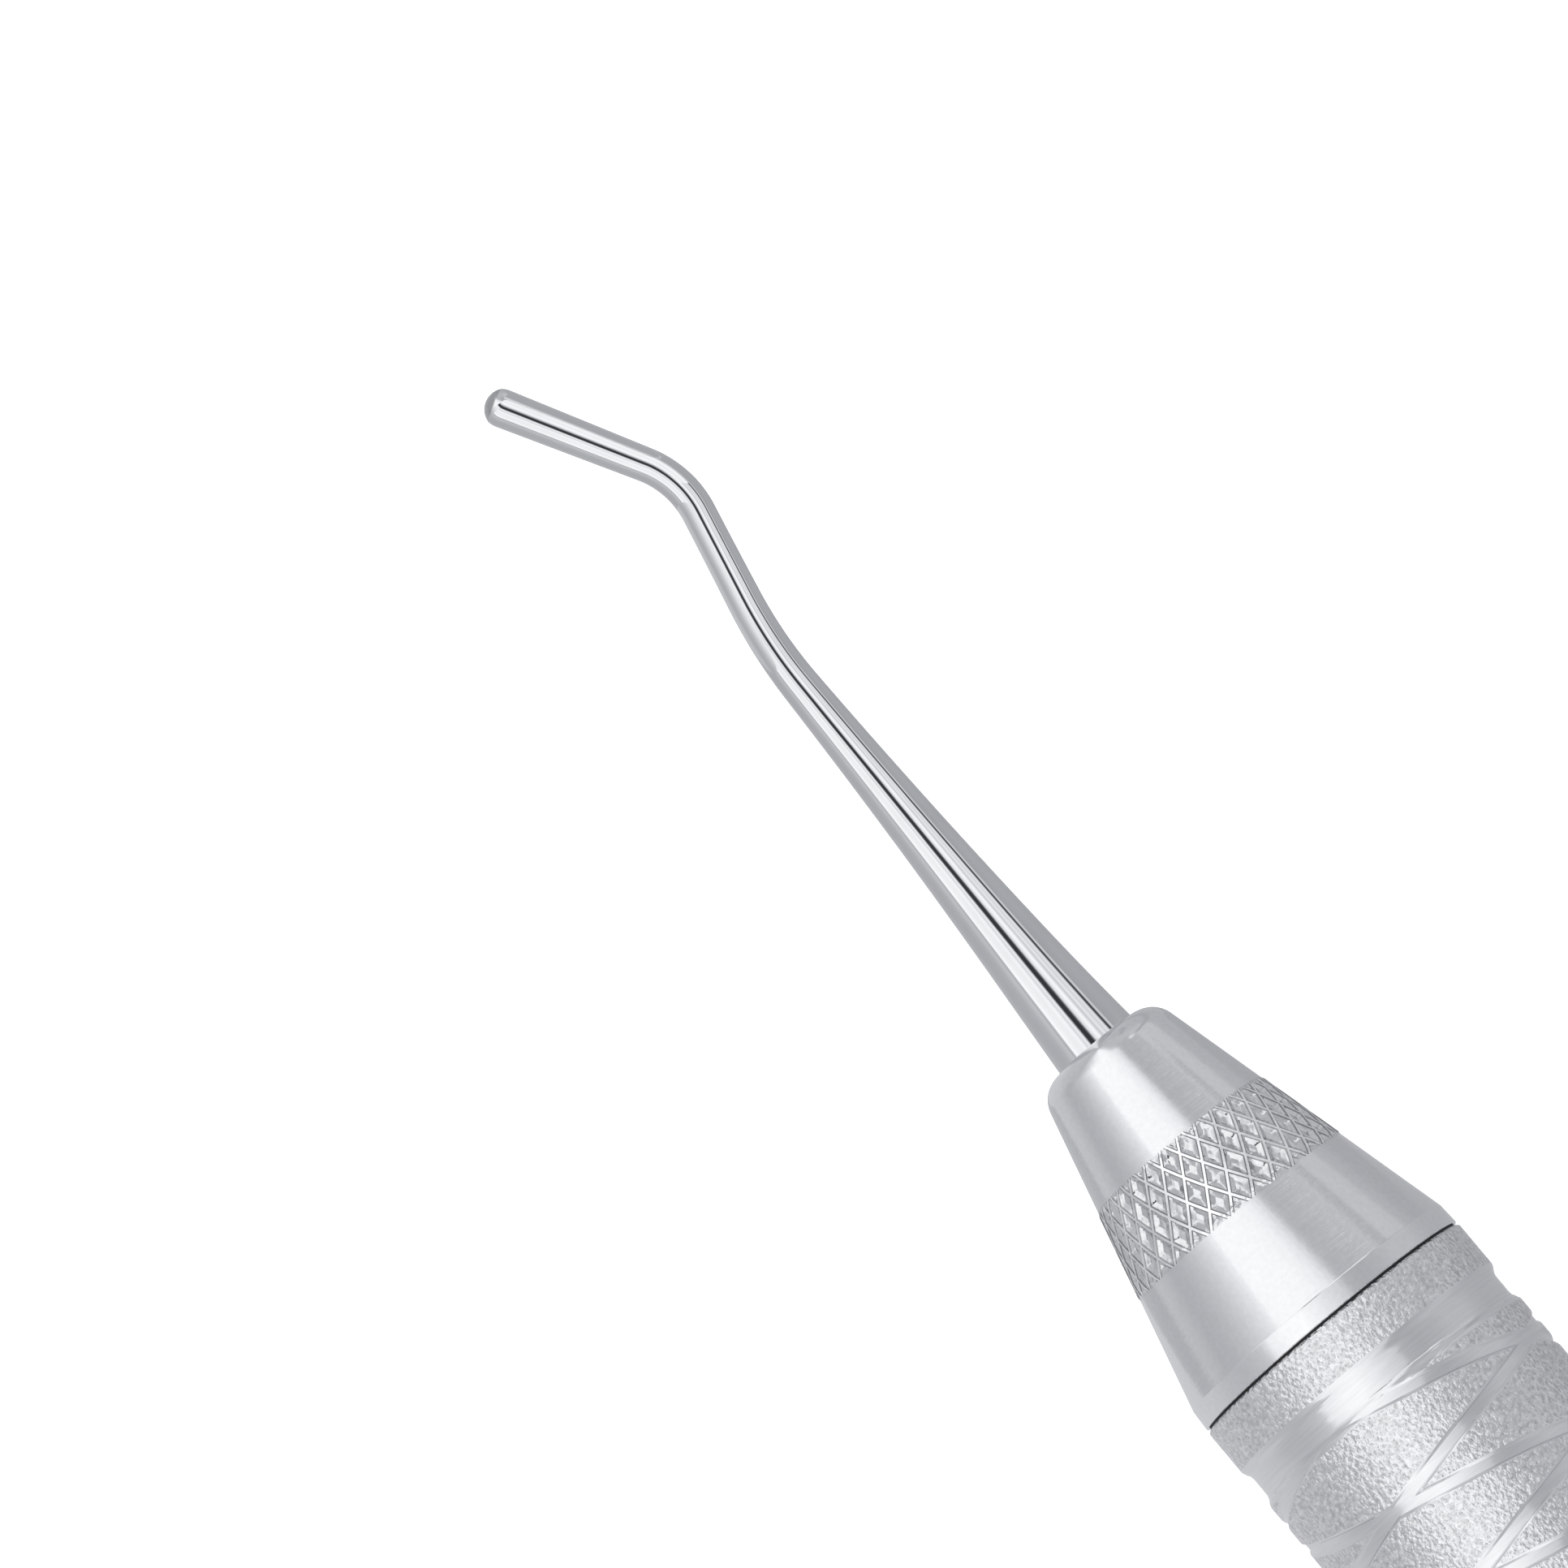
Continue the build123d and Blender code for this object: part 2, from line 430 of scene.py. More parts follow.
POLISHED = polished_steel()
TURNED = turned_steel()
BLASTED = blasted_steel()
BRIGHT = groove_steel()
# Knurl ridge tops: steel painted 1.22 times brighter, a painted highlight along the ridges
RIDGE_PAINTED_HIGHLIGHT = painted_light_steel("knurl_ridge_painted_highlight_steel", 1.22, 0.2)
# Knurl ridge shoulders: steel painted 0.42 as dark, painted shade beside the ridges
SHADED = painted_light_steel("knurl_shoulder_painted_shade_steel", 0.42, 0.25)
# Knurl pits: steel painted slightly darker, a little painted shade in the pits
PITTED = painted_light_steel("knurl_pit_painted_shade_steel", 0.97, 0.13)
# Domed crown at each rod's end: steel painted 0.66 as dark, painted shade on the dome
CROWN_PAINTED_SHADE = painted_light_steel("crown_painted_shade_steel", 0.66, 0.22)
RUBBER = seal_rubber()


# ---------------------------------------------------------------- handle tube

TWIST = 2 * math.pi / LEAD
GROOVE_HALF = TWIST * GROOVE_WIDTH / 2
HALF_TURN = 2 * math.pi / STARTS


def groove_share(angle, distance):
    """How far a point is from the nearest grip groove's middle, in half widths."""
    nearest = None
    for side in (-1, 1):
        phase = CROSSING_ANGLE + side * TWIST * CROSSING_AT
        offset = (angle + side * TWIST * distance - phase + HALF_TURN / 2) % HALF_TURN - HALF_TURN / 2
        share = np.abs(offset) / GROOVE_HALF
        nearest = share if nearest is None else np.minimum(nearest, share)
    return nearest


def ring_depth(distance):
    """Depth of the ring groove at a distance from the nearer end of the tube."""
    floor = RING_LAND + RING_FLANK
    rise = RING_LAND + RING_WIDTH - RING_FLANK
    return RING_DEPTH * smooth(RING_LAND, floor, distance) * (1 - smooth(rise, rise + RING_FLANK, distance))


def tube_depth(angle, distance):
    """Depth of the tube's skin under its full size: grip grooves, ring grooves, broken corners."""
    from_end = np.minimum(distance, TUBE_LENGTH - distance)
    spiral = GROOVE_DEPTH * (1 - smooth(GROOVE_FLOOR, 1.0, groove_share(angle, distance)))
    spiral *= from_end > RING_LAND + RING_WIDTH / 2
    depth = np.maximum(spiral, ring_depth(from_end))
    return np.maximum(depth, EDGE_BREAK - from_end)


def finish_tube(woven):
    """Gives the grooves' faces the second material."""
    middles = np.array([f.calc_center_median() for f in woven.faces])
    back = TUBE_HIGH.x - middles[:, 0]
    near = np.minimum(back, TUBE_LENGTH - back)
    turn = np.arctan2(-middles[:, 1], middles[:, 2])
    in_ring = (RING_LAND < near) & (near < RING_LAND + RING_WIDTH)
    in_groove = (near > RING_LAND + RING_WIDTH) & (groove_share(turn, back) < 1)
    for f, bright in zip(woven.faces, in_ring | in_groove):
        f.material_index = int(bright)


def handle_tube():
    """Grip lands between crossing grooves, ring grooves, broken end corners, and the bore."""
    land = (HALF_TURN - 2 * GROOVE_HALF) / LAND_CELLS
    offsets = [GROOVE_HALF * line for line in GROOVE_LINES]
    offsets += [GROOVE_HALF + land * step for step in range(1, LAND_CELLS)]
    woven = lattice(
        offsets, HALF_TURN, STARTS, TWIST, CROSSING_AT, CROSSING_ANGLE,
        -TUBE_OVERRUN, TUBE_LENGTH + TUBE_OVERRUN, lambda distance: HANDLE_R,
    )
    steps = [i / FLANK_ROWS for i in range(FLANK_ROWS + 1)]
    rows = [EDGE_BREAK]
    rows += [RING_LAND + RING_FLANK * step for step in steps]
    rows += [RING_LAND + RING_WIDTH - RING_FLANK * step for step in steps]
    cut(woven, 0.0, drop=-1)
    cut(woven, TUBE_LENGTH, drop=1)
    for row in rows:
        cut(woven, row)
        cut(woven, TUBE_LENGTH - row)

    distance, angle = places(woven)
    place(woven, ring_point(TUBE_HIGH.x - distance, HANDLE_R - tube_depth(angle, distance), angle))
    finish_tube(woven)
    ends = [
        grow(woven, rim(woven, x), [(x, BORE_R), (x - side * BORE_MOUTH, BORE_R)])
        for x, side in ((TUBE_HIGH.x, 1), (TUBE_LOW.x, -1))
    ]
    bmesh.ops.bridge_loops(woven, edges=ends[0] + ends[1])
    mesh = finished(woven, "handle_tube_grip")
    return piece("handle_tube_grip", mesh, [BLASTED, BRIGHT], "handle_tube")


# ---------------------------------------------------------------- nose cones

KNURL_STEP = 2 * math.pi / KNURL_LINES
KNURL_TWIST = KNURL_STEP / 2 / KNURL_PITCH


def cone_face(end):
    """X of a cone's front face, counted towards its own end of the handle."""
    low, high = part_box(f"{end}_nose_cone")
    return high.x if end == "front" else -low.x


def slope_radius(back):
    """Radius of the plain cone at a distance back from its face."""
    return (FACE_D + (BEVEL_D - FACE_D) * back / BEVEL_AT) / 2


def knurl_sides(angle, back):
    """A point's place across both families of ridges, in radians from one ridge of each."""
    return [
        angle + side * KNURL_TWIST * (back - KNURL_CROSSING_AT) - KNURL_CROSSING_ANGLE
        for side in (-1, 1)
    ]


def ridge_gaps(sides):
    """Degrees from a point to the nearest ridge of each family."""
    half = KNURL_STEP / 2
    return [np.degrees(np.abs((offset + half) % KNURL_STEP - half)) for offset in sides]


def knurl_height(angle, back):
    """Height of the knurled surface over the plain cone: ridges stand, diamond pits sink."""
    sides = knurl_sides(angle, back)
    near = ridge_gaps(sides)
    ridge = np.minimum(near[0], near[1])
    cell = np.floor(sides[0] / KNURL_STEP) * PIT_MIX[0] + np.floor(sides[1] / KNURL_STEP) * PIT_MIX[1]
    wobble = np.sin(cell * PIT_MIX[2])
    burr = np.sin(near[0] * BURR_WAVES[0] + wobble * BURR_SHIFTS[0])
    burr *= np.sin(near[1] * BURR_WAVES[1] - wobble * BURR_SHIFTS[1])
    pit = np.interp(ridge, (RIDGE_HALF, SHOULDER_END, FACET_END), (0, SHOULDER_SHARE, 1))
    depth = KNURL_DEPTH * (1 + PIT_VARIES * wobble) * pit
    depth -= BURR * burr * (ridge >= SHOULDER_END)
    ragged = RAGGED * (1 + np.sin(angle * RAGGED_WAVES[0]) * np.sin(angle * RAGGED_WAVES[1] + 1))
    ends = smooth(0, KNURL_RAMP, back - KNURL_START - ragged)
    ends *= smooth(0, KNURL_RAMP, KNURL_END - ragged - back)
    return ends * (KNURL_PROUD - depth)


def knurled_band(face_x):
    """The knurled stretch of a cone's skin, open at both ends."""
    period = 360 / KNURL_LINES
    wall = (SHOULDER_END, WALL_MIDDLE, FACET_END, FLAT_ROW)
    degrees = [-RIDGE_HALF, RIDGE_HALF, *wall, period / 2, *(period - d for d in reversed(wall))]
    woven = lattice(
        [math.radians(d) for d in degrees], KNURL_STEP, KNURL_LINES, KNURL_TWIST,
        KNURL_CROSSING_AT, KNURL_CROSSING_ANGLE,
        KNURL_START - KNURL_OVERRUN, KNURL_END + KNURL_OVERRUN, slope_radius,
    )
    cut(woven, KNURL_START, drop=-1)
    cut(woven, KNURL_END, drop=1)
    for share in RAMP_ROWS:
        cut(woven, KNURL_START + KNURL_RAMP * share)
        cut(woven, KNURL_END - KNURL_RAMP * share)
    back, angle = places(woven)
    place(woven, ring_point(face_x - back, slope_radius(back) + knurl_height(angle, back), angle))
    return woven


def cone_front(face_x):
    """Lathe profile from the knurled band to the bore: slope, rounded face, bore's mouth."""
    slope = math.atan((BEVEL_D - FACE_D) / 2 / BEVEL_AT)
    sweep = math.pi / 2 - slope
    setback = FACE_ROUND * math.tan(sweep / 2)
    centre_x, centre_r = face_x - FACE_ROUND, FACE_D / 2 - setback
    rows = (KNURL_START - RIM_STEP, KNURL_START - 2 * RIM_STEP, *FRONT_ROWS)
    front = [(face_x - back, slope_radius(back)) for back in rows]
    front += [
        (centre_x + FACE_ROUND * math.cos(turn), centre_r + FACE_ROUND * math.sin(turn))
        for turn in np.linspace(sweep, 0, NOSE_RINGS)
    ]
    return front + [(face_x, TANG_R), (face_x - BORE_MOUTH, TANG_R)]


def cone_rear(face_x):
    """Lathe profile from the knurled band to the bore: slope, bevel, shoulder, spigot."""
    rows = (KNURL_END + RIM_STEP, KNURL_END + 2 * RIM_STEP, REAR_ROW)
    rows += (BEVEL_AT - 2 * CREASE, BEVEL_AT - CREASE)
    rear = [(face_x - back, slope_radius(back)) for back in rows]
    bevel_rise = (REAR_D - BEVEL_D) / 2 / (CONE_LENGTH - BEVEL_AT)
    rear += [(face_x - BEVEL_AT - step, BEVEL_D / 2 + step * bevel_rise) for step in (CREASE, 2 * CREASE)]
    shoulder = face_x - CONE_LENGTH
    return rear + [
        (shoulder + SHOULDER_BREAK, REAR_D / 2),
        (shoulder, REAR_D / 2 - SHOULDER_BREAK),
        (shoulder, BORE_R),
        (shoulder - SPIGOT_LENGTH, BORE_R),
        (shoulder - SPIGOT_LENGTH, TANG_R),
    ]


def finish_knurl(woven, face_x):
    """Gives the ridges' tops their painted highlight, their shoulders their painted shade and the pits
    their slightly darker painted shade.
    """
    for f in woven.faces:
        middle = f.calc_center_median()
        back = face_x - middle.x
        if KNURL_START < back < KNURL_END and math.hypot(middle.y, middle.z) > FACE_D / 2:
            angle = math.atan2(-middle.y, middle.z)
            ridge = min(ridge_gaps(knurl_sides(angle, back)))
            f.material_index = 1 if ridge < RIDGE_HALF else 2 if ridge < SHOULDER_END else 3


def nose_cone(end):
    """Rounded face, slope, knurl, rear bevel, spigot and bore, for one end of the handle."""
    face_x = cone_face(end)
    woven = knurled_band(face_x)
    front_rim = grow(woven, rim(woven, face_x - KNURL_START), cone_front(face_x))
    rear_rim = grow(woven, rim(woven, face_x - KNURL_END), cone_rear(face_x))
    bmesh.ops.bridge_loops(woven, edges=front_rim + rear_rim)
    finish_knurl(woven, face_x)
    if end == "rear":
        bmesh.ops.rotate(woven, verts=woven.verts, matrix=Matrix.Rotation(math.pi, 3, "Z"))
    name = f"{end}_cone_knurled"
    # Turned steel, then the ridge tops' painted highlight, the shoulders' painted shade and the pits'
    # slight painted shade
    materials = [TURNED, RIDGE_PAINTED_HIGHLIGHT, SHADED, PITTED]
    return piece(name, finished(woven, name), materials, f"{end}_nose_cone")


# ---------------------------------------------------------------- working ends

def forward(heading):
    """Unit vector along a heading in the XY plane."""
    return Vector((math.cos(heading), math.sin(heading)))


def leftward(heading):
    """Unit vector a quarter turn to the left of a heading."""
    return Vector((-math.sin(heading), math.cos(heading)))


def dome_sizes(tip_d):
    """Radius of the crown, half its width, and length of the rounded edge below it."""
    return CROWN_R_SHARE * tip_d, CROWN_W_SHARE * tip_d / 2, EDGE_SHARE * tip_d


def centreline(face_x, tip_d):
    """Points and headings along the rod, close enough together to look smooth."""
    crown_r, half_width, edge = dome_sizes(tip_d)
    dome = edge + crown_r - math.sqrt(crown_r**2 - half_width**2)
    bearing = [0.0] + [math.radians(degrees) for _, degrees in RUNS]
    lengths = [NOSE_RUN] + [length for length, _ in RUNS]
    lengths[-1] -= dome
    # How much of a run each bend takes up, with none before the first run or after the last
    cut_in = [0.0] + [
        bend * math.tan(abs(bearing[i + 1] - bearing[i]) / 2) for i, bend in enumerate(BENDS)
    ] + [0.0]
    here, heading = Vector((face_x, 0)), 0.0
    points, headings = [], []
    for i, length in enumerate(lengths):
        straight = length - cut_in[i] - cut_in[i + 1]
        steps = max(2, round(straight / ROW_STEP))
        for step in range(steps):
            points.append(here + forward(heading) * straight * step / steps)
            headings.append(heading)
        here = here + forward(heading) * straight
        if i < len(BENDS):
            turn = bearing[i + 1] - heading
            side = math.copysign(1, turn)
            centre = here + leftward(heading) * BENDS[i] * side
            steps = max(4, round(abs(turn) * BENDS[i] / ROW_STEP))
            for step in range(steps):
                now = heading + turn * step / steps
                points.append(centre - leftward(now) * BENDS[i] * side)
                headings.append(now)
            heading = bearing[i + 1]
            here = centre - leftward(heading) * BENDS[i] * side
    points.append(here)
    headings.append(heading)
    return np.array(points), np.array(headings)


def shank_rings(face_x, neck_d, tip_d):
    """Rings of the tang and the bent shank, each as (place, heading, radius)."""
    points, headings = centreline(face_x, tip_d)
    step = np.linalg.norm(np.diff(points, axis=0), axis=1)
    along = np.concatenate([[0], np.cumsum(step)])
    taper = np.clip(1 - along / TAPER_LENGTH, 0, None) ** 2
    flare = np.clip(along - FLARE_FROM, 0, None) / (along[-1] - FLARE_FROM)
    radius = (neck_d + (2 * TANG_R - neck_d) * taper + (tip_d - neck_d) * flare) / 2
    back = face_x - TANG_LENGTH
    tang = [((back, 0), 0.0, TANG_R - TANG_CHAMFER), ((back + TANG_CHAMFER, 0), 0.0, TANG_R)]
    return tang + list(zip(points, headings, radius))


def dome_rings(foot, heading, tip_d):
    """Rings of the rounded edge and the crown, and the crown's highest point."""
    ahead = np.array([math.cos(heading), math.sin(heading)])
    crown_r, half_width, edge = dome_sizes(tip_d)
    sweep = 2 * math.atan((tip_d / 2 - half_width) / edge)
    edge_r = edge / math.sin(sweep)
    rings = []
    for i in range(1, EDGE_RINGS + 1):
        turn = sweep * i / EDGE_RINGS
        r = tip_d / 2 - edge_r * (1 - math.cos(turn))
        rings.append((foot + ahead * edge_r * math.sin(turn), heading, r))
    start = math.asin(half_width / crown_r)
    crown_centre = edge - crown_r * math.cos(start)
    for i in range(1, CROWN_RINGS):
        turn = start * (1 - i / CROWN_RINGS)
        middle = foot + ahead * (crown_centre + crown_r * math.cos(turn))
        rings.append((middle, heading, crown_r * math.sin(turn)))
    return rings, foot + ahead * (crown_centre + crown_r)


def working_end(end, neck_d, tip_d):
    """Tang, tapered and bent shank, and domed end, as rings along the centreline."""
    face_x = cone_face(end)
    rings = shank_rings(face_x, neck_d, tip_d)
    foot, heading, _ = rings[-1]
    dome, apex = dome_rings(foot, heading, tip_d)
    rings += dome

    spin = 2 * math.pi * np.arange(ROD_SIDES) / ROD_SIDES
    verts = []
    for middle, heading, r in rings:
        across = np.array([-math.sin(heading), math.cos(heading)])
        for a in spin:
            flat = np.array(middle) + across * r * math.cos(a)
            verts.append((flat[0], flat[1], r * math.sin(a)))
    faces = []
    for ring in range(len(rings) - 1):
        base, ahead = ring * ROD_SIDES, (ring + 1) * ROD_SIDES
        for s in range(ROD_SIDES):
            after = (s + 1) % ROD_SIDES
            faces.append((base + s, ahead + s, ahead + after, base + after))
    # The crown's rings and its end fan get the steel painted darker, as painted shade
    crown_shade_from = (len(rings) - CROWN_RINGS) * ROD_SIDES
    finish = [0] * crown_shade_from + [1] * (len(faces) - crown_shade_from)

    back, tip = len(verts), len(verts) + 1
    verts += [(face_x - TANG_LENGTH, 0, 0), (apex[0], apex[1], 0)]
    last = (len(rings) - 1) * ROD_SIDES
    for s in range(ROD_SIDES):
        after = (s + 1) % ROD_SIDES
        faces.append((s, after, back))
        faces.append((last + after, last + s, tip))
        finish += [0, 1]
    if end == "rear":
        verts = [(-x, -y, z) for x, y, z in verts]
    name = f"{end}_rod_polished"
    mesh = bpy.data.meshes.new(name)
    mesh.from_pydata(verts, [], faces)
    return piece(name, mesh, [POLISHED, CROWN_PAINTED_SHADE], f"{end}_working_end", finish)


handle_tube()
for which, neck, tip in (("front", FRONT_NECK_D, FRONT_TIP_D), ("rear", REAR_NECK_D, REAR_TIP_D)):
    nose_cone(which)
    working_end(which, neck, tip)
    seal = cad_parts[f"{which}_seal_ring"]
    seal.data.materials.clear()
    seal.data.materials.append(RUBBER)


# ---------------------------------------------------------------- floor and light

# Brightness of what the steel mirrors, by degrees round X from straight up towards -Y
FULL = 1.3
COOL = (0.105, 0.075, 0.0)  # red, green and blue missing from the darkest parts of the room
ROOM = (
    (-180, 0.70), (-140, 0.70), (-125, 0.68), (-112, 0.66), (-100, 0.60), (-90, 0.54), (-80, 0.55),
    (-71, 0.59), (-62, 0.65), (-54, 0.73), (-46, 0.83), (-38, 0.95), (-35, 1.00), (-31, 1.175),
    (0, 1.175), (6, 1.14), (13, 1.08), (19, 0.98), (24, 0.83), (28, 0.60), (33, 0.54), (45, 0.55),
    (60, 0.57), (65, 0.58), (68, 0.70), (80, 0.68), (99, 0.65), (103, 0.56), (115, 0.54), (140, 0.53),
    (180, 0.55),
)
ROOM_END = (
    (-180, 0.64), (-120, 0.62), (-85, 0.60), (-62, 0.58), (-46, 0.72), (-38, 0.80), (-25, 0.98),
    (-8, 1.17), (6, 1.14), (12, 0.98), (18, 0.68), (30, 0.60), (60, 0.62), (90, 0.60), (120, 0.56),
    (180, 0.62),
)
HANDLE_BANDS = (
    (-180, 0.66), (-140, 0.70), (-122, 0.70), (-103, 0.67), (-87, 0.60), (-70, 0.57), (-60, 0.60),
    (-51, 0.66), (-46, 0.74), (-43, 0.95), (-40, 1.06), (-33, 1.12), (-26, 1.18), (-13, 1.20),
    (-6.5, 1.13), (0, 1.06), (6.5, 0.97), (13, 0.88), (19, 0.80), (23, 0.74), (26, 0.56), (33, 0.52),
    (40, 0.50), (54, 0.55), (69, 0.62), (87, 0.61), (97, 0.56), (110, 0.52), (150, 0.51), (180, 0.56),
)
ROD_BANDS = (
    (-180, 0.60), (-147, 0.57), (-122, 0.53), (-102, 0.53), (-85, 0.56), (-68, 0.69), (-62, 0.56),
    (-59, 0.64), (-56, 1.24), (-47, 1.12), (-35, 1.08), (-24, 1.17), (-18, 0.86), (-12, 1.14),
    (-10, 0.90), (-6, 0.05), (4, 0.05), (7.5, 0.36), (10, 0.92), (20, 1.22), (25, 1.05), (30, 0.74),
    (36, 1.05), (44, 0.84), (50, 1.05), (54, 0.60), (56, 0.06), (60, 0.08), (65, 0.92), (70, 0.47),
    (100, 0.505), (180, 0.45),
)
ROOM_MIDDLE = (
    *(stop for stop in ROOM if stop[0] < -36),
    *(stop for stop in ROD_BANDS if -13 < stop[0] < 10),
    (14, 0.95), (20, 1.20), (35, 1.08), (42, 1.12), (50, 1.24), (57, 1.00),
    (70, 0.50), (78, 0.52), (81, 0.67),
    *(stop for stop in ROOM if stop[0] > 90),
)
TIP_BANDS = (
    *(stop for stop in ROOM if stop[0] < 46),
    (51, 0.56), (54, 1.00), (58, 0.95), (65, 0.62), (74, 0.49), (110, 0.50), (180, 0.47),
)

# Where the room changes over, as the share of a unit direction that points along X
MIDDLE_TO_ROOM = (0.452, 0.472)
ROOM_TO_END = (0.60, 0.85)

# Tunnels, each as radius, low X and high X
HANDLE_TUNNEL = (0.04, -0.30, 0.0605)
ROD_TUNNEL = (0.15, -0.12, 0.104)
TIP_TUNNEL = (0.15, 0.163, 0.19)
ELBOW_WALL = (0.012, 0.0815, 0.0882)
ELBOW_ARC = (68, 130)
TUNNEL_SIDES = 96

FLOOR_HALF = 3.0
FLOOR_GLOW = 0.55
KEY_SIZE = (1.0, 0.5)
KEY_PLACE = (0, 0.1, 0.6)
KEY_POWER = 1.5


def floor():
    """A plain pale floor that the steel doesn't mirror, so that its sides reflect the room."""
    material = bpy.data.materials.new("studio_floor")
    material.use_nodes = True
    shader = material.node_tree.nodes["Principled BSDF"]
    shader.inputs["Base Color"].default_value = (0.9, 0.9, 0.9, 1)
    shader.inputs["Roughness"].default_value = 0.9
    shader.inputs["Emission Color"].default_value = (1, 1, 1, 1)
    shader.inputs["Emission Strength"].default_value = FLOOR_GLOW
    mesh = bpy.data.meshes.new("studio_floor")
    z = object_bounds()[0][2]
    corners = [(x * FLOOR_HALF, y * FLOOR_HALF, z) for x, y in ((-1, -1), (1, -1), (1, 1), (-1, 1))]
    mesh.from_pydata(corners, [], [(0, 1, 2, 3)])
    mesh.materials.append(material)
    obj = bpy.data.objects.new("studio_floor", mesh)
    bpy.context.scene.collection.objects.link(obj)
    obj.visible_glossy = False
    obj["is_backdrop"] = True


def maths(nodes, links, operation, first, second):
    """One maths node; each input is a socket or a number."""
    node = nodes.new("ShaderNodeMath")
    node.operation = operation
    for socket, value in zip(node.inputs, (first, second)):
        if isinstance(value, (int, float)):
            socket.default_value = value
        else:
            links.new(value, socket)
    return node.outputs["Value"]


def sideways_angle(nodes, links, direction):
    """The angle of a direction round X, from straight up towards -Y."""
    parts = nodes.new("ShaderNodeSeparateXYZ")
    links.new(direction, parts.inputs["Vector"])
    sideways = maths(nodes, links, "MULTIPLY", parts.outputs["Y"], -1.0)
    return maths(nodes, links, "ARCTAN2", sideways, parts.outputs["Z"])


def bands(nodes, links, angle, stops):
    """Brightness by angle, from (degrees, brightness) stops."""
    low, high = stops[0][0], stops[-1][0]
    scale = nodes.new("ShaderNodeMapRange")
    scale.inputs["From Min"].default_value = math.radians(low)
    scale.inputs["From Max"].default_value = math.radians(high)
    ramp = nodes.new("ShaderNodeValToRGB")
    elements = ramp.color_ramp.elements
    elements[1].position = 1
    for degrees, brightness in stops:
        if degrees == high:
            element = elements[-1]
        elif degrees == low:
            element = elements[0]
        else:
            element = elements.new((degrees - low) / (high - low))
        share = brightness / FULL
        element.color = (*[share * (1 - cool * (1 - share)) for cool in COOL], 1)
    links.new(angle, scale.inputs["Value"])
    links.new(scale.outputs["Result"], ramp.inputs["Fac"])
    return ramp.outputs["Color"]


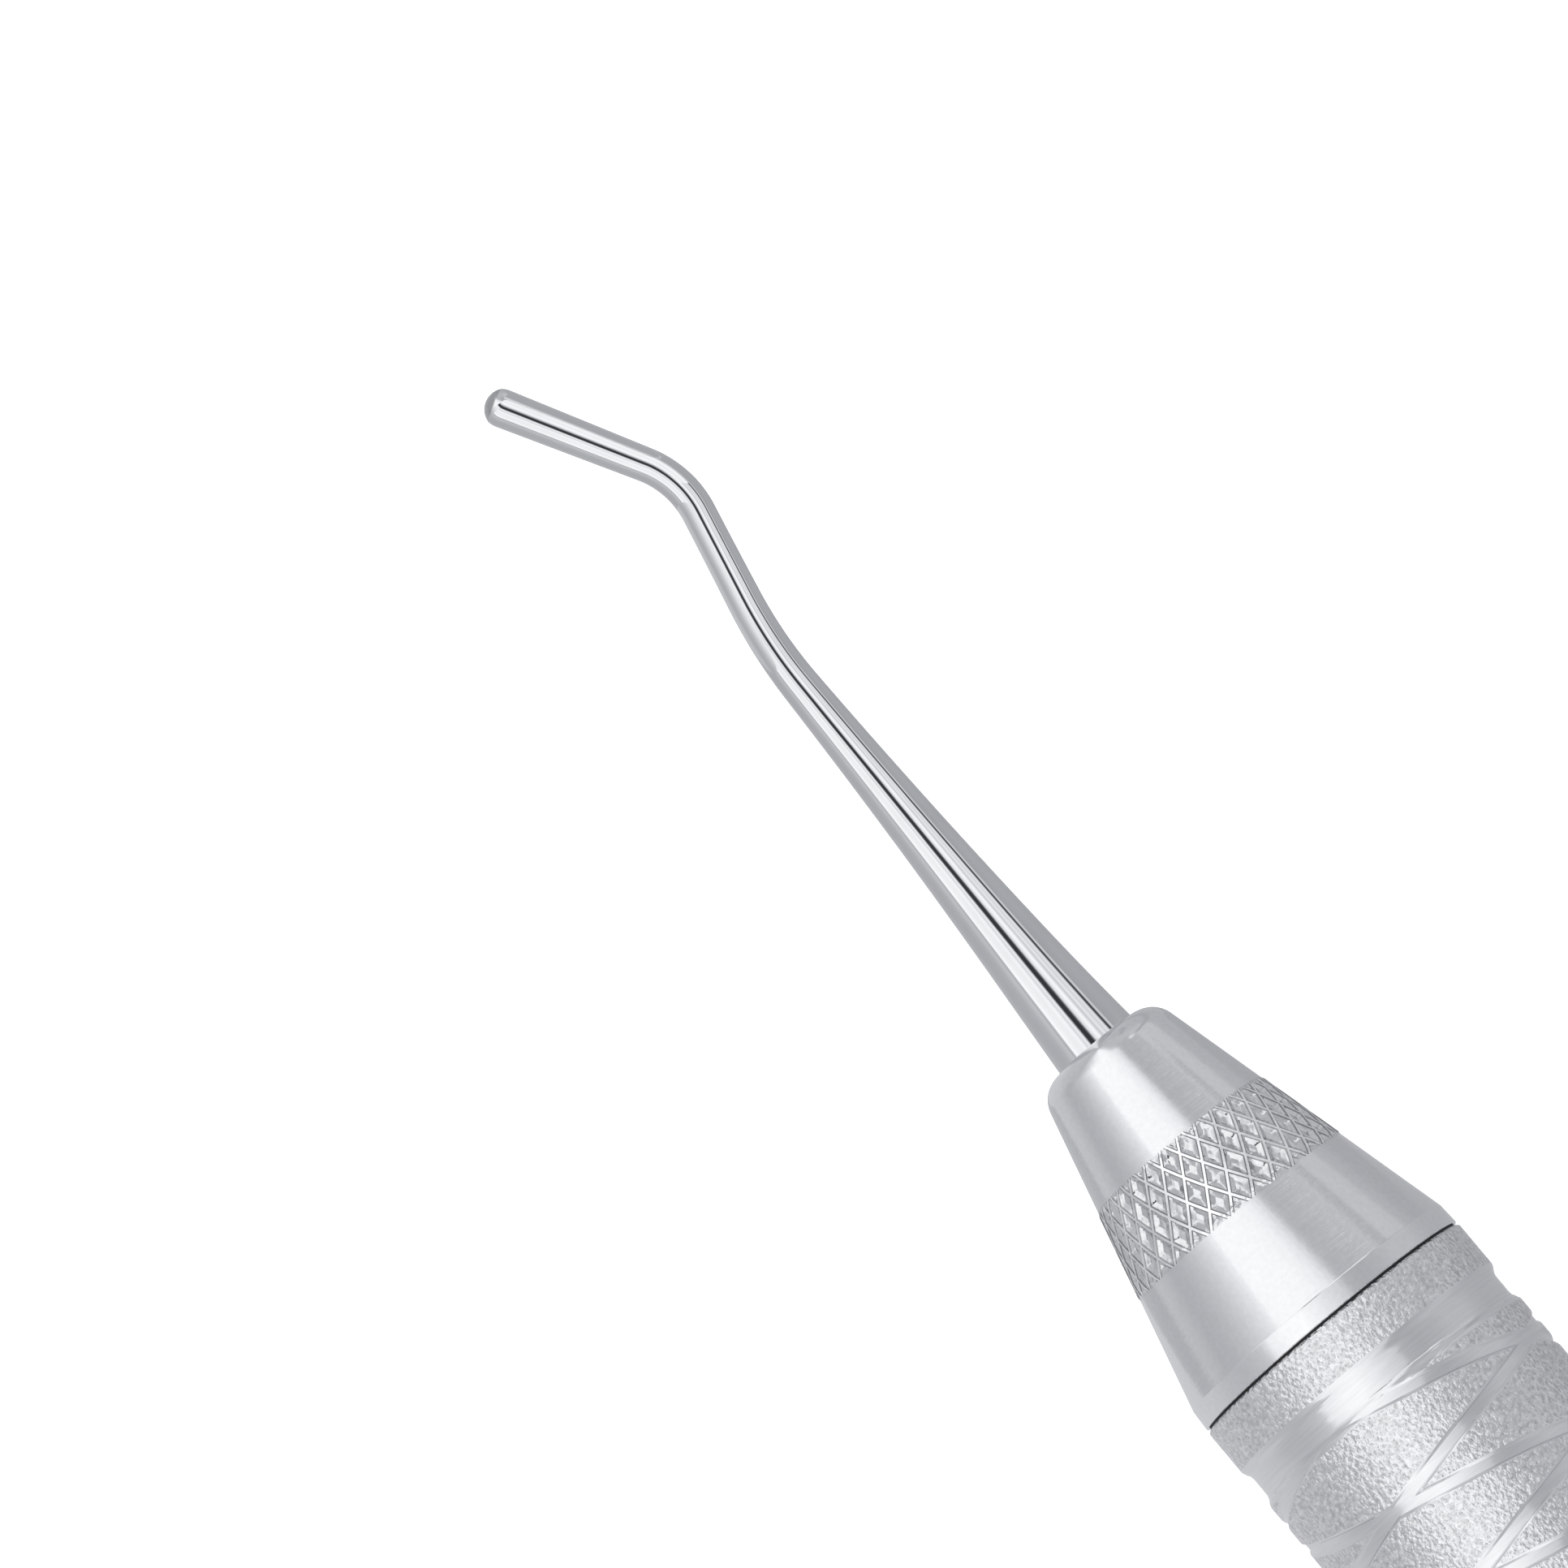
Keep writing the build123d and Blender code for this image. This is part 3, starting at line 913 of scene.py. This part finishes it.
def tunnel(name, size, stops, arc=(-180, 180)):
    """A stretch of light tunnel round the X axis, or an arc of one, seen only as a reflection."""
    radius, low_x, high_x = size
    material = bpy.data.materials.new(name)
    material.use_nodes = True
    nodes, links = material.node_tree.nodes, material.node_tree.links
    nodes.remove(nodes["Principled BSDF"])
    glow = nodes.new("ShaderNodeEmission")
    glow.inputs["Strength"].default_value = FULL
    where = nodes.new("ShaderNodeTexCoord")
    angle = sideways_angle(nodes, links, where.outputs["Object"])
    links.new(bands(nodes, links, angle, stops), glow.inputs["Color"])
    links.new(glow.outputs["Emission"], nodes["Material Output"].inputs["Surface"])
    wall = np.radians(np.linspace(*arc, TUNNEL_SIDES + 1))
    verts = np.concatenate([ring_point(x, radius, wall) for x in (low_x, high_x)])
    far = TUNNEL_SIDES + 1
    mesh = bpy.data.meshes.new(name)
    mesh.from_pydata(verts, [], [(s, s + 1, far + s + 1, far + s) for s in range(TUNNEL_SIDES)])
    mesh.materials.append(material)
    obj = bpy.data.objects.new(name, mesh)
    bpy.context.scene.collection.objects.link(obj)
    obj.visible_camera = False
    obj.visible_shadow = False
    obj.visible_diffuse = False
    obj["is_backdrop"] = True


def studio_world():
    """The room beyond the tunnels, changing from its middle towards its two ends along X."""
    world = bpy.data.worlds.new("studio")
    world.use_nodes = True
    nodes, links = world.node_tree.nodes, world.node_tree.links
    where = nodes.new("ShaderNodeTexCoord")
    parts = nodes.new("ShaderNodeSeparateXYZ")
    links.new(where.outputs["Generated"], parts.inputs["Vector"])
    angle = sideways_angle(nodes, links, where.outputs["Generated"])
    endways = maths(nodes, links, "ABSOLUTE", parts.outputs["X"], 0.0)
    colour = bands(nodes, links, angle, ROOM_MIDDLE)
    for stops, (start, end) in ((ROOM, MIDDLE_TO_ROOM), (ROOM_END, ROOM_TO_END)):
        step = nodes.new("ShaderNodeMapRange")
        step.interpolation_type = "SMOOTHSTEP"
        step.inputs["From Min"].default_value = start
        step.inputs["From Max"].default_value = end
        links.new(endways, step.inputs["Value"])
        mix = nodes.new("ShaderNodeMix")
        mix.data_type = "RGBA"
        links.new(step.outputs["Result"], mix.inputs["Factor"])
        links.new(colour, mix.inputs["A"])
        links.new(bands(nodes, links, angle, stops), mix.inputs["B"])
        colour = mix.outputs["Result"]
    background = nodes["Background"]
    links.new(colour, background.inputs["Color"])
    background.inputs["Strength"].default_value = FULL
    bpy.context.scene.world = world


def key_light():
    """A soft light for what isn't steel: the floor and the seals."""
    light = bpy.data.lights.new("key", "AREA")
    light.shape = "RECTANGLE"
    light.size, light.size_y = KEY_SIZE
    light.energy = KEY_POWER
    obj = bpy.data.objects.new("key", light)
    obj.location = KEY_PLACE
    obj.visible_glossy = False
    bpy.context.scene.collection.objects.link(obj)


floor()
studio_world()
key_light()

# The handle, the rod, and the outer sides of the elbow and the tip each mirror a tunnel of their
# own, and the cone mirrors the room
tunnel("handle_tunnel", HANDLE_TUNNEL, HANDLE_BANDS)
tunnel("rod_tunnel", ROD_TUNNEL, ROD_BANDS)
tunnel("tip_tunnel", TIP_TUNNEL, TIP_BANDS)
tunnel("elbow_wall", ELBOW_WALL, TIP_BANDS, ELBOW_ARC)


# ---------------------------------------------------------------- camera

LENS, SENSOR = 600, 36  # millimetres: far away, with a narrow view
CLIP = (0.01, 20)
FIELD = 48.06 * MM  # width of the view where the camera aims
TILT = math.radians(5.3)
ROLL = math.radians(50)
AIM = Vector((TUBE_HIGH.x + 23.66 * MM, 2.17 * MM, 0))


def aim_camera():
    """Looks down on the front end from a little behind it, with the handle at the lower right."""
    scene = bpy.context.scene
    data = bpy.data.cameras.new("camera")
    data.lens, data.sensor_width = LENS, SENSOR
    data.clip_start, data.clip_end = CLIP
    camera = bpy.data.objects.new("camera", data)
    scene.collection.objects.link(camera)
    along_axis = Vector((math.cos(TILT), 0, math.sin(TILT)))
    across_axis = Vector((0, 1, 0))
    right = -math.cos(ROLL) * along_axis - math.sin(ROLL) * across_axis
    upward = math.sin(ROLL) * along_axis - math.cos(ROLL) * across_axis
    backward = right.cross(upward)
    camera.matrix_world = Matrix((right, upward, backward)).transposed().to_4x4()
    camera.location = AIM + backward * FIELD * LENS / SENSOR
    scene.camera = camera


aim_camera()
bpy.context.scene.view_settings.view_transform = "Standard"

bpy.context.view_layer.update()
